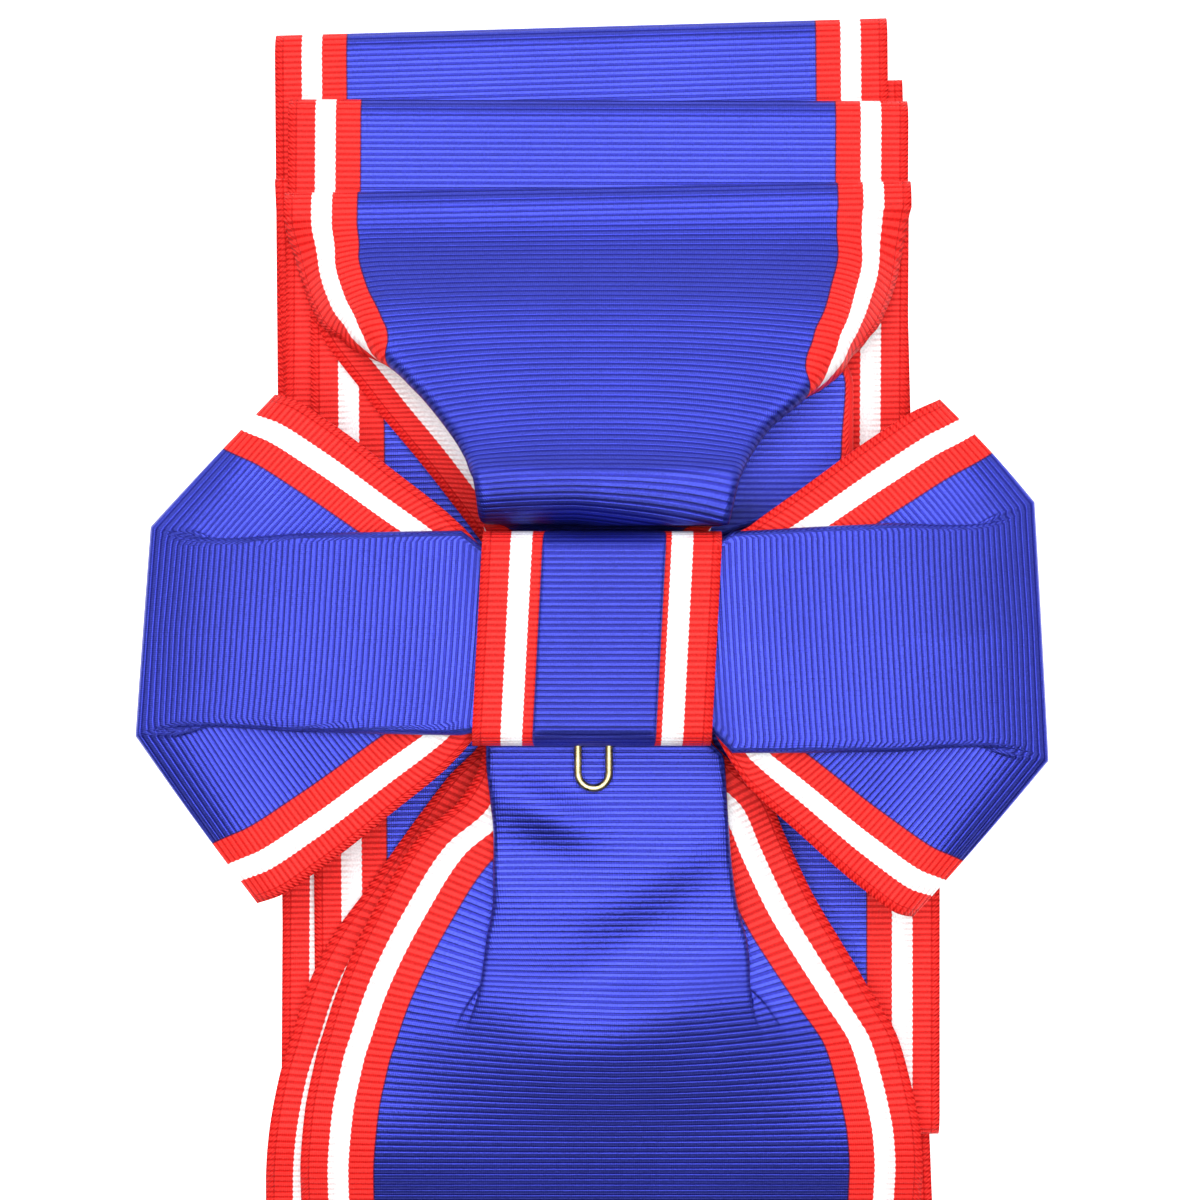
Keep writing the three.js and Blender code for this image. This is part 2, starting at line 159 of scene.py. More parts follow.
def across_of(at, middle_at, total):
    """The place across the riband: true from each edge inwards over the stripes, and even in between."""
    def side(inwards, room):
        plain = HALF - inwards
        inner = (HALF - TRUE_EDGE) * (1 - (inwards - TRUE_EDGE) / max(room - TRUE_EDGE, 1e-6))
        return np.where(inwards < TRUE_EDGE, plain, inner)

    left = -side(at, middle_at)
    right = side(total - at, total - middle_at)
    return np.where(at <= middle_at, left, right)


# Meshes
class Cloth:
    """Rows of points in the middle of a length of riband, with their places across and along the weave."""

    def __init__(self, columns):
        self.columns = columns
        self.rows = []
        self.across = []
        self.along = []
        self.outlines = []

    def add(self, points, across, along):
        self.rows.append(points)
        self.across.append(across)
        self.along.append(along)

    def add_outline(self, outline, middle_index, along, bend_share=0.45, measured=None):
        """Adds a row along an outline. Its ribs are measured on another one with as many points, if given."""
        points, at = spread(outline, self.columns, bend_share)
        run = lengths(outline)
        self.outlines.append((outline if measured is None else measured, at / run[-1], run / run[-1]))
        self.add(points, across_of(at, run[middle_index], run[-1]), np.full(self.columns, float(along)))

    def measure_along(self, start_row=0, first=0, start=0.0):
        """Sets the rib places of the last outlines to the way gone along each of their points, less its
        sideways part. The first of them is the row with the number given."""
        grid = np.array([outline for outline, _, _ in self.outlines])
        across = np.gradient(grid, axis=1)
        across = across[1:] + across[:-1]
        across = across / np.maximum(np.linalg.norm(across, axis=2, keepdims=True), 1e-9)
        step = np.diff(grid, axis=0)
        step = step - (step * across).sum(axis=2, keepdims=True) * across
        gone = np.concatenate([
            np.zeros((1, grid.shape[1])),
            np.cumsum(np.linalg.norm(step, axis=2), axis=0),
        ])
        gone -= gone[start_row]
        for i, (_, at, run) in enumerate(self.outlines):
            self.along[first + i] = start + np.interp(at, run, gone[i])
        self.outlines = []


def unit(v):
    return v / np.maximum(np.linalg.norm(v, axis=-1, keepdims=True), 1e-9)


def cloth_mesh(name, cloth, closed=False, wall=CLOTH):
    """One closed wall of cloth. The weave's places go into its UV map: across as a share, along in ribs."""
    grid = np.array(cloth.rows)
    count, columns = grid.shape[:2]
    if closed:
        before, after = np.roll(grid, 1, axis=0), np.roll(grid, -1, axis=0)
    else:
        before = np.concatenate([grid[:1], grid[:-1]])
        after = np.concatenate([grid[1:], grid[-1:]])
    left = np.concatenate([grid[:, :1], grid[:, :-1]], axis=1)
    right = np.concatenate([grid[:, 1:], grid[:, -1:]], axis=1)
    along = unit(unit(grid - before) + unit(after - grid))
    across = unit(unit(grid - left) + unit(right - grid))
    normal = unit(np.cross(across, along)) * wall / 2
    sheets = np.stack([grid + normal, grid - normal], axis=2)
    vertices = sheets.reshape(-1, 3) * MM + KNOT_CENTRE

    ids = np.arange(count * columns * 2).reshape(count, columns, 2)
    if closed:
        ids = np.concatenate([ids, ids[:1]])

    def quads(a, b, c, d):
        return np.stack([a, b, c, d], axis=-1).reshape(-1, 4)

    top, under = ids[:, :, 0], ids[:, :, 1]
    faces = [
        quads(top[:-1, :-1], top[:-1, 1:], top[1:, 1:], top[1:, :-1]),
        quads(under[:-1, :-1], under[1:, :-1], under[1:, 1:], under[:-1, 1:]),
        quads(under[:-1, 0], top[:-1, 0], top[1:, 0], under[1:, 0]),
        quads(top[:-1, -1], under[:-1, -1], under[1:, -1], top[1:, -1]),
    ]
    if not closed:
        faces.append(quads(under[0, :-1], under[0, 1:], top[0, 1:], top[0, :-1]))
        faces.append(quads(top[-1, :-1], top[-1, 1:], under[-1, 1:], under[-1, :-1]))
    faces = np.concatenate(faces)

    mesh = bpy.data.meshes.new(name)
    mesh.vertices.add(len(vertices))
    mesh.vertices.foreach_set("co", vertices.ravel())
    mesh.loops.add(faces.size)
    mesh.loops.foreach_set("vertex_index", faces.ravel())
    mesh.polygons.add(len(faces))
    mesh.polygons.foreach_set("loop_start", np.arange(0, faces.size, 4))
    mesh.polygons.foreach_set("use_smooth", np.ones(len(faces), bool))
    mesh.update(calc_edges=True)

    places = np.stack([np.array(cloth.across) / WIDTH + 0.5, np.array(cloth.along) / RIB], axis=-1)
    places = np.repeat(places[:, :, None, :], 2, axis=2).reshape(-1, 2)
    layer = mesh.uv_layers.new(name="weave")
    layer.data.foreach_set("uv", places[faces.ravel()].ravel())
    if closed:
        fix_seam(layer, faces, columns)
    mesh.validate()
    piece = bpy.data.objects.new(name, mesh)
    bpy.context.scene.collection.objects.link(piece)
    return piece


# A face whose ribs lie further apart than this is torn by the join of a closed band
TORN_RIBS = 20


def fix_seam(layer, faces, columns):
    """On a closed band, lets the ribs run on over the join by whole ribs."""
    uv = np.empty(len(layer.data) * 2)
    layer.data.foreach_get("uv", uv)
    uv = uv.reshape(-1, 4, 2)
    first_row = faces // 2 < columns
    low = uv[:, :, 1].min(axis=1)
    high = uv[:, :, 1].max(axis=1)
    torn = (high - low) > TORN_RIBS
    mean_high = np.where(first_row, np.nan, uv[:, :, 1])
    for f in np.nonzero(torn)[0]:
        near = np.nanmean(mean_high[f]) if not np.all(first_row[f]) else high[f]
        uv[f, first_row[f], 1] = near
    layer.data.foreach_set("uv", uv.ravel())


# The folded loop
FOLDS = table(
    "start end x y lean reach",
    (11, 8, 0.001, 0.3665, 0.019, 1.1),
    (8, 7, -0.007, -0.3537, 0.01, 0.19),
    (7, 4, 0.002, 0.4426, -0.003, 1),
    (4, 3, -0.01, -0.452, 0, 0.19),
    (3, 0, -0.026, 0.5096, 0.0285, 1),
    (0, 1, 0, -0.479, 0, 0.19),
    (1, 2, 0, 0.4574, 0.0285, 0.19),
    (2, 5, 0.044, -0.4904, 0, 0.85),
    (5, 6, -0.021, 0.379, 0.005, 0.19),
    (6, 9, 0.049, -0.4085, 0.004, 0.85),
    (9, 10, 0.041, 0.2723, 0.03, 0.19),
)
RIBAND_COLUMNS = 91
LAY_STEPS = 14
FOLD_STEPS = 12

# The ninth lay's right side is drawn in to this share of its width at its upper fold, under the gathered
# end. It begins at NINTH_FROM of the lay's length and takes NINTH_OVER of it.
NINTH_LAY = (9, 10)
NINTH_RIGHT = 0.62
NINTH_FROM = 0.42
NINTH_OVER = 0.5


def fold_points(i, angle):
    """One row of a fold, from its first lay at angle 0 to its second at pi."""
    start, end, x, y, lean, reach = (column[i] for column in FOLDS.values())
    side = math.copysign(1, y)
    middle_z = (level(start) + level(end)) / 2
    half_height = (level(start) - level(end)) / 2
    xs = x * WIDTH + np.linspace(-HALF, HALF, RIBAND_COLUMNS)
    if (start, end) == NINTH_LAY:
        xs = np.where(xs > 0, xs * NINTH_RIGHT, xs)
    ys = y * PACKET + lean * xs + side * reach * FOLD_REACH * (math.sin(angle) - 1)
    return np.stack([xs, ys, np.full(RIBAND_COLUMNS, middle_z + half_height * math.cos(angle))], axis=1)


# The front end, gathered over the knot: y is a share of the packet's length down to the pouf's crown, left
# and right are shares of half the riband's width, and rise is a share of the climb. At each side the cloth
# turns down through an angle in degrees over a roll, and its last flap lies straight, both in millimetres.
FRONT_END = table(
    "y left right rise angle_l angle_r roll_l roll_r flap_l flap_r arch",
    (0.3455, 1, 1, 0.0, 0, 0, 13, 13, 1, 1, 0),
    (0.3385, 0.994, 0.994, 0.012, 14, 14, 13, 13, 1, 1, 0.05),
    (0.3245, 0.968, 0.975, 0.06, 34, 32, 14, 14, 1, 1, 0.3),
    (0.3085, 0.936, 0.95, 0.15, 50, 48, 14, 13, 1.5, 1.5, 0.9),
    (0.287, 0.885, 0.905, 0.29, 60, 58, 14, 13, 1.5, 1.5, 1.6),
    (0.266, 0.8, 0.85, 0.42, 82, 72, 11, 11, 2, 2, 2.1),
    (0.256, 0.758, 0.817, 0.465, 94, 80, 9.5, 10, 2.5, 2, 2.3),
    (0.2447, 0.712, 0.781, 0.51, 112, 88, 8.4, 9, 4, 2.5, 2.4),
    (0.234, 0.664, 0.743, 0.545, 140, 95, 7.4, 8.5, 6.8, 3.2, 2.5),
    (0.2234, 0.617, 0.704, 0.585, 168, 108, 6.6, 8, 9.8, 4.5, 2.6),
    (0.2124, 0.577, 0.663, 0.625, 180, 140, 6.2, 7.4, 12, 7, 2.6),
    (0.2021, 0.5375, 0.621, 0.66, 180, 165, 6.2, 7, 13, 9.5, 2.6),
    (0.1809, 0.471, 0.53, 0.735, 180, 180, 6.4, 6.8, 14, 13.5, 2.4),
    (0.1596, 0.417, 0.475, 0.81, 180, 180, 5.8, 6, 14, 14, 2.0),
    (0.1436, 0.39, 0.446, 0.89, 180, 180, 5.2, 5.4, 14, 14, 1.5),
)
TOP_LEAN = 0.019
TOP_STEP = 0.7

# The top's lean begins at this share of the packet's length and is full a little above it
LEAN_FROM = 0.3
LEAN_OVER = 0.045

# The gathered end's lower right is drawn down towards the knot, but stays POUF_CLEAR away from it. This begins
# DRAWN_FROM above the knot's middle and fades out in the lowest DRAWN_HEIGHT, all of them in millimetres.
POUF_CLEAR = 0.75
DRAWN_FROM = 26
DRAWN_OVER = 9
DRAWN_HEIGHT = 5
DRAWN_DOWN = 0.09
DRAWN_POWER = 1.15

# The columns begin even at the fold, and come closer together in the bends over this many millimetres
EVEN_UNTIL = 22
BEND_SHARE = 0.4

# How sharply the ribs bow down towards both sides
ARCH_POWER = 2.6
POUF_TURN = table(
    "ahead drop left right angle_l angle_r roll_l roll_r flap_l flap_r arch",
    (5.8, 0, 0.374, 0.425, 180, 180, 4.6, 4.8, 12, 12, 1.1),
    (3.7, 0.035, 0.366, 0.408, 180, 180, 4.2, 4.4, 11, 11, 0.9),
    (2, 0.13, 0.362, 0.396, 180, 180, 3.8, 4, 10, 10, 0.7),
    (1, 0.27, 0.36, 0.39, 180, 180, 3.4, 3.6, 9, 9, 0.5),
    (0.72, 0.45, 0.36, 0.384, 180, 180, 3, 3.2, 8, 8, 0.3),
    (0.74, 0.64, 0.355, 0.375, 180, 180, 2.6, 2.8, 7, 7, 0.1),
    (0.2, 0.85, 0.35, 0.355, 180, 180, 2.2, 2.2, 6, 6, 0),
    (-1.4, 0.97, 0.345, 0.345, 180, 180, 1.8, 1.8, 5, 5, 0),
    (-3.2, 1, 0.345, 0.345, 180, 180, 1.6, 1.6, 5, 5, 0),
)


def turned_half(target, angle, roll, flap):
    """One side of a gathered section, from its middle outwards, as places across and drops. Its plan reach is
    the target: the stripes keep their true widths and the middle takes up the difference."""
    s = np.linspace(flap + roll, 0, 70)
    share = np.clip((flap + roll - s) / roll, 0, 1)
    slope = np.radians(angle) * ease(share)
    step = np.abs(np.diff(s, prepend=s[0]))
    x = np.cumsum(np.cos(slope) * step)
    drop = np.cumsum(np.sin(slope) * step)
    flat = max(target - x.max(), 0.5)
    middle = np.stack([np.linspace(0, flat, 30)[:-1], np.zeros(29)], axis=1)
    return np.concatenate([middle, np.stack([x + flat, drop], axis=1)])


def front_end_path():
    """The front end's middle line, in y and z, with its table columns read at every step."""
    climb = POUF_TOP_Z - level(11)
    fall = POUF_TOP_Z - FRONT_END_Z
    ys = np.concatenate([FRONT_END["y"] * PACKET, KNOT_LENGTH / 2 + POUF_TURN["ahead"] * PITCH, [END_GAP]])
    zs = np.concatenate([
        level(11) + FRONT_END["rise"] * climb,
        POUF_TOP_Z - POUF_TURN["drop"] * fall,
        [FRONT_END_Z],
    ])
    columns = {}
    for name in POUF_TURN:
        if name not in ("ahead", "drop"):
            columns[name] = np.concatenate([FRONT_END[name], POUF_TURN[name], POUF_TURN[name][-1:]])
    run = lengths(np.stack([ys, zs], axis=1))
    return run, ys, zs, columns


def front_end_rows(cloth, start_along, steps=110):
    """Adds the front end's rows from the knot up to the fold. Their ribs bow down towards both sides."""
    run, ys, zs, columns = front_end_path()
    fine = np.linspace(0, run[-1], 900)
    path = np.stack([smooth(run, ys, fine), smooth(run, zs, fine)], axis=1)
    true_run = lengths(path)
    tangent = unit(np.gradient(path, axis=0))
    for p in np.linspace(true_run[-1], TOP_STEP, steps):
        at = np.interp(p, true_run, fine)
        here = {name: float(smooth(run, column, at)) for name, column in columns.items()}
        left = here["left"] * HALF
        right = here["right"] * HALF
        left_half = turned_half(left, here["angle_l"], here["roll_l"], here["flap_l"])
        right_half = turned_half(right, here["angle_r"], here["roll_r"], here["flap_r"])
        flat = np.concatenate([left_half[::-1] * [-1, 1], right_half[1:]])
        bow = np.abs(flat[:, 0]) / max(left, right)
        place = np.clip(p + here["arch"] * bow ** ARCH_POWER, 0, true_run[-1])
        centre = np.stack([np.interp(place, true_run, path[:, k]) for k in range(2)], axis=1)
        ahead = np.stack([np.interp(place, true_run, tangent[:, k]) for k in range(2)], axis=1)
        out_y, out_z = ahead[:, 1], -ahead[:, 0]
        outline = np.stack([
            flat[:, 0],
            centre[:, 0] - flat[:, 1] * out_y,
            centre[:, 1] - flat[:, 1] * out_z,
        ], axis=1)
        lean = TOP_LEAN * np.clip((outline[:, 1] / PACKET - LEAN_FROM) / LEAN_OVER, 0, 1)
        outline[:, 1] += lean * outline[:, 0]
        near = np.clip((DRAWN_FROM - centre[:, 0]) / DRAWN_OVER, 0, 1)
        low = near * np.clip((outline[:, 2] - FRONT_END_Z) / DRAWN_HEIGHT, 0, 1)
        rightwards = np.maximum(outline[:, 0] + 3, 0)
        lowered = outline[:, 1] - DRAWN_DOWN * rightwards ** DRAWN_POWER * low * low * (3 - 2 * low)
        outline[:, 1] = np.maximum(lowered, np.minimum(outline[:, 1], KNOT_LENGTH / 2 + POUF_CLEAR))
        bend_share = BEND_SHARE * min(p / EVEN_UNTIL, 1)
        cloth.add_outline(outline, len(left_half) - 1, start_along - p, bend_share)


# The back end, under the front one: its left side comes out as a striped wing, and its right side is turned
# under, so that a sliver of its inner red shows
BACK_END = table(
    "run edge_x edge_y inner_x inner_y outer_x outer_y right flap height",
    (0, -0.905, 0.2645, -0.25, 0.27, -0.2, 0.27, 0.64, 10.6, 0.0),
    (0.13, -0.875, 0.244, -0.31, 0.269, -0.4, 0.264, 0.68, 10.2, 0.45),
    (0.25, -0.82, 0.2235, -0.36, 0.266, -0.55, 0.252, 0.72, 9.5, 0.8),
    (0.38, -0.76, 0.204, -0.34, 0.252, -0.54, 0.234, 0.765, 8.6, 0.95),
    (0.5, -0.7, 0.184, -0.3, 0.235, -0.5, 0.205, 0.81, 8.6, 1),
    (0.75, -0.56, 0.141, -0.2, 0.18, -0.42, 0.15, 0.81, 8, 1),
    (0.92, -0.435, 0.1, -0.12, 0.12, -0.36, 0.11, 0.66, 9, 1),
    (1, -0.36, 0.075, -0.06, 0.08, -0.345, 0.08, 0.345, 10, 1),
)


# The points of a pleated half that lie on its wing
WING_POINTS = 8


def pleat_half(edge, inner, outer, middle, steps=6):
    """One half of a pleated section: plan places, and depths in pitches, from the outer edge inwards."""
    edge, inner, outer, middle = (np.array(place, float) for place in (edge, inner, outer, middle))
    return_length = max(np.linalg.norm(outer - inner), 1e-6)
    bend = min(PITCH / 2, return_length / 2.2)
    wing_way = unit(inner - edge)
    return_way = unit(outer - inner)
    places, depths = [], []
    for t in np.linspace(0, 1, WING_POINTS):
        places.append(mix(edge, inner - wing_way * bend, t))
        depths.append(2.0)
    for angle in np.linspace(0, math.pi, steps + 1)[1:]:
        places.append(inner - wing_way * bend + wing_way * bend * math.sin(angle))
        depths.append(1.5 + 0.5 * math.cos(angle))
    start = places[-1]
    for t in (0.35, 0.7, 1):
        places.append(mix(start, outer - return_way * bend, t))
        depths.append(1.0)
    for angle in np.linspace(0, math.pi, steps + 1)[1:]:
        places.append(outer - return_way * bend + return_way * bend * math.sin(angle))
        depths.append(0.5 + 0.5 * math.cos(angle))
    start = places[-1]
    for t in (0.33, 0.66):
        places.append(mix(start, middle, t))
        depths.append(0.0)
    return np.array(places), np.array(depths)


# The angle in degrees through which the back end's right side is turned under, and the roll of that turn
BACK_ANGLE = 178
BACK_ROLL = 2.4


def plan_corner(here, name):
    """One corner of the back end's section, in millimetres."""
    return (here[name + "_x"] * HALF, here[name + "_y"] * PACKET)


def back_end_rows(cloth, start_along, steps=46):
    """Adds the back end's rows from its fold down to the knot."""
    first = len(cloth.rows)
    top_z = level(10)
    for t in np.linspace(0.02, 1, steps):
        here = read(BACK_END, "run", t)
        edge, inner, outer = (plan_corner(here, name) for name in ("edge", "inner", "outer"))
        middle = (0.0, here["outer_y"] * PACKET)
        places, depths = pleat_half(edge, inner, outer, middle)
        lift = here["height"] * (2 - depths) * PITCH
        left = np.concatenate([places, (top_z + lift)[:, None]], axis=1)
        angle = BACK_ANGLE * min(here["height"] * 1.1, 1)
        right_half = turned_half(here["right"] * HALF, angle, BACK_ROLL, here["flap"])
        crown = top_z + here["height"] * 2 * PITCH
        right = np.stack([
            right_half[:, 0],
            np.full(len(right_half), middle[1]),
            crown - right_half[:, 1],
        ], axis=1)
        outline = np.concatenate([left, right])
        cloth.add_outline(outline, len(left), start_along)
    cloth.measure_along(first=first, start=start_along)
    last_row, last_along = cloth.rows[-1].copy(), cloth.along[-1]
    for t in np.linspace(0, 1, 8)[1:]:
        moved = last_row.copy()
        moved[:, 1] = mix(last_row[:, 1], END_GAP, t)
        cloth.add(moved, cloth.across[-1], last_along + last_row[:, 1] - moved[:, 1])


def lay_row(first, second, t, drawn_in):
    """One row of a flat lay between two folds."""
    row = mix(first, second, t)
    if drawn_in:
        late = np.clip((t - NINTH_FROM) / NINTH_OVER, 0, 1)
        row[:, 0] = mix(first[:, 0], second[:, 0], np.where(row[:, 0] > 0, ease(late), t))
    return row


def build_riband():
    """The riband from its front end, through all folds and lays, to its back end."""
    cloth = Cloth(RIBAND_COLUMNS)
    front_end_rows(cloth, 0.0)
    cloth.outlines = []
    across = np.linspace(-HALF, HALF, RIBAND_COLUMNS)
    along = -TOP_STEP
    last = cloth.rows[-1]
    for i in range(len(FOLDS["x"])):
        rows = [fold_points(i, angle) for angle in np.linspace(0, math.pi, FOLD_STEPS + 1)]
        steps = LAY_STEPS if i else 1
        drawn_in = i == len(FOLDS["x"]) - 1
        rows = [lay_row(last, rows[0], t, drawn_in) for t in np.linspace(0, 1, steps + 1)[1:-1]] + rows
        for row in rows:
            along += float(np.linalg.norm(row[RIBAND_COLUMNS // 2] - last[RIBAND_COLUMNS // 2]))
            cloth.add(row, across, np.full(RIBAND_COLUMNS, along))
            last = row
    back_end_rows(cloth, along)
    return cloth_mesh("riband_cloth", cloth)


# The bow
LOOP_PLAN = table(
    "run edge_x edge_y inner_x inner_y outer_x outer_y depth stack",
    (0, 0.255, 0.35, 0.255, 0.04, 0.255, 0.35, 0, 1),
    (0.025, 0.272, 0.385, 0.272, 0.045, 0.272, 0.393, 0.02, 1),
    (0.09, 0.325, 0.475, 0.335, 0.075, 0.33, 0.395, 0.2, 1),
    (0.3, 0.445, 0.64, 0.5, 0.165, 0.48, 0.4, 0.4, 1),
    (0.55, 0.58, 0.82, 0.72, 0.265, 0.68, 0.405, 0.5, 0.95),
    (0.8, 0.682, 0.93, 0.9, 0.38, 0.865, 0.43, 0.35, 0.7),
    (1, 0.718, 0.945, 0.977, 0.44, 0.972, 0.455, 0.0, 0.4),
)

# How each loop's corners depart from the plan: shares of x at the tip, and of y near the knot and at the tip,
# first for the wing's edge and then for the panel's fold
LOOP_SHAPES = table(
    "direction side edge_tip_x edge_near edge_tip fold_tip_x fold_near fold_tip swell",
    (-1, 1, 1.0, 1.0, 1.0, 1.02, 1.04, 0.94, 0.2),
    (-1, -1, 1.055, 1.03, 1.09, 1.055, 0.93, 0.83, 0.3),
    (1, 1, 1.065, 0.87, 0.98, 1.0, 1.02, 1.15, 0.5),
    (1, -1, 0.982, 1.17, 1.145, 1.032, 1.1, 1.04, 0.3),
)
BOW_COLUMNS = 121
TIP_SHARPNESS = 0.2
TIP_LEAN = 0.8

# Each loop takes on its own shape over these first shares of its way out of the knot
LOOP_BEGINS = {"edge": 0.09, "fold": 0.025}

# The panel's folds open out between these shares of the way to the tip
TIP_OPENS = 0.5
TIP_OPEN = 1.0


def loop_outline(direction, run, turn):
    """One row of a loop at a share of its way out: its pleated and its opened outline, and its middle point."""
    here = read(LOOP_PLAN, "run", run)
    begun = {kind: min(run / share, 1) for kind, share in LOOP_BEGINS.items()}
    half_depth = mix(2.5 * PITCH, LOOP_DEPTH / 2, here["depth"])
    middle_z = mix(BOW_MIDDLE_Z, BOW_MIDDLE_Z - BOW_DROP, run ** 1.3)
    halves, outers, swells = [], [], []
    for side in (-1, 1):
        mine = (LOOP_SHAPES["direction"] == direction) & (LOOP_SHAPES["side"] == side)
        shape = {name: column[mine][0] for name, column in LOOP_SHAPES.items()}

        def corner(name, kind):
            x = mix(1, shape[kind + "_tip_x"], run) * here[name + "_x"] * BOW_REACH
            stray = mix(shape[kind + "_near"], shape[kind + "_tip"], run)
            y = mix(1, stray, begun[kind]) * here[name + "_y"]
            return (direction * x, side * y * BOW_SPREAD / 2)

        swells.append(shape["swell"] * run ** 5)
        outers.append(corner("outer", "fold"))
        halves.append((corner("edge", "edge"), corner("inner", "fold"), outers[-1]))
    middle = tuple(np.mean(outers, axis=0))
    folded = 1 - float(np.clip((run - TIP_OPENS) / (TIP_OPEN - TIP_OPENS), 0, 1))
    folded = ease(folded)
    opened = []
    for half, swelling in zip(halves, swells):
        pleated, depth = pleat_half(*half, middle)
        plain = open_half(pleated, (half[0], half[2], middle))
        for line in (pleated, plain):
            line[:WING_POINTS, 0] += direction * swelling * np.sin(np.linspace(0, math.pi, WING_POINTS))
        opened.append((pleated, mix(plain, pleated, folded), depth))
    depths = np.concatenate([opened[0][2], [0.0], opened[1][2][::-1]])
    outlines = []
    for kind in (0, 1):
        places = np.concatenate([opened[0][kind], [middle], opened[1][kind][::-1]])
        heights = (here["stack"], half_depth, middle_z)
        outlines.append(raise_loop(places, depths * folded, direction, turn, *heights))
    return outlines, len(opened[0][0])


def open_half(pleated, corners):
    """The same points along plain lines between corners, by their shares of the pleated half's length."""
    line = np.array(corners, float)
    gone = lengths(np.concatenate([pleated, line[-1:]]))
    run = lengths(line)
    at = gone[:-1] / gone[-1] * run[-1]
    return np.stack([np.interp(at, run, line[:, k]) for k in range(2)], axis=1)


def raise_loop(places, depths, direction, turn, stack, half_depth, middle_z):
    """Puts a loop's plan places at their heights, round the loop's tip by the turn given."""
    radius = half_depth - depths * PITCH * stack
    lean = np.minimum(np.abs(places[:, 1]) / (BOW_SPREAD / 2), 1) * TIP_LEAN
    near_edge = np.ones(len(places))
    near_edge[:WING_POINTS] = np.linspace(0.1, 1, WING_POINTS)
    near_edge[-WING_POINTS:] = np.linspace(1, 0.1, WING_POINTS)
    out = radius * math.sin(turn) * TIP_SHARPNESS * near_edge
    return np.stack([
        places[:, 0] + direction * np.cos(lean) * out,
        places[:, 1] + np.sign(places[:, 1]) * np.sin(lean) * out,
        middle_z + radius * math.cos(turn),
    ], axis=1)


def build_bow():
    cloth = Cloth(BOW_COLUMNS)
    runs = np.linspace(0, 1, 26) ** 0.9
    turns = np.linspace(0, math.pi, 15)[1:-1]
    for direction in (-1, 1):
        steps = [(run, 0.0) for run in runs]
        steps += [(1.0, turn) for turn in turns]
        steps += [(run, math.pi) for run in runs[::-1]]
        if direction < 0:
            steps = steps[::-1]
        first = len(cloth.rows)
        for run, turn in steps:
            (pleated, outline), middle = loop_outline(direction, run, turn)
            cloth.add_outline(outline, middle, 0.0, measured=pleated)
        cloth.measure_along(start_row=len(steps) // 2, first=first, start=first * 0.7)
    return cloth_mesh("bow_cloth", cloth, closed=True)


# The knot band: its bend, the places of its panel's folds, the height of a layer and the panel's crown
KNOT_COLUMNS = 97
KNOT_BEND = 2.7
PANEL_LEFT = 8.5
PANEL_RIGHT = 9.2
KNOT_LAYER = 0.62
KNOT_CROWN = 0.25


def build_knot():
    cloth = Cloth(KNOT_COLUMNS)
    half_height = (KNOT_FRONT_Z - KNOT_BACK_Z) / 2
    middle_z = (KNOT_FRONT_Z + KNOT_BACK_Z) / 2
    straight = KNOT_LENGTH / 2 - CAD_WALL / 2 - KNOT_BEND
    path = [(mix(straight, -straight, t), middle_z + half_height, 1.0) for t in np.linspace(0, 1, 33)]

    def turn_rows(end_y, outwards, angles):
        for angle in angles[1:-1]:
            z = middle_z + half_height * math.cos(angle)
            path.append((end_y + outwards * KNOT_BEND * math.sin(angle), z, max(math.cos(angle), 0)))

    turn_rows(-straight, -1, np.linspace(0, math.pi, 15))
    for t in np.linspace(0, 1, 9):
        path.append((mix(-straight, straight, t), middle_z - half_height, 0.0))
    turn_rows(straight, 1, np.linspace(math.pi, 0, 15))
    edge_x = KNOT_WIDTH / 2
    along = 0.0
    last = None
    for y, z, front in path:
        hidden = mix(0.4, 7.0, front)
        halves = []
        for side, panel_x in ((-1, PANEL_LEFT), (1, PANEL_RIGHT)):
            fold = (side * (panel_x - hidden), 0)
            halves.append(pleat_half((side * edge_x, 0), fold, (side * panel_x, 0), (0, 0)))
        places = np.concatenate([halves[0][0], [(0.0, 0.0)], halves[1][0][::-1]])
        depths = np.concatenate([halves[0][1], [0.0], halves[1][1][::-1]])
        lift = (2 - depths) * KNOT_LAYER * mix(0.04, 1, front)
        crown = KNOT_CROWN * front * np.clip(1 - (places[:, 0] / PANEL_RIGHT) ** 2, 0, 1)
        outline = np.stack([places[:, 0] + KNOT_LEAN * y, np.full(len(places), y), z + lift + crown], axis=1)
        if last is not None:
            along += math.hypot(y - last[0], z - last[1])
        cloth.add_outline(outline, len(halves[0][0]), along)
        last = (y, z)
    return cloth_mesh("knot_cloth", cloth, closed=True)


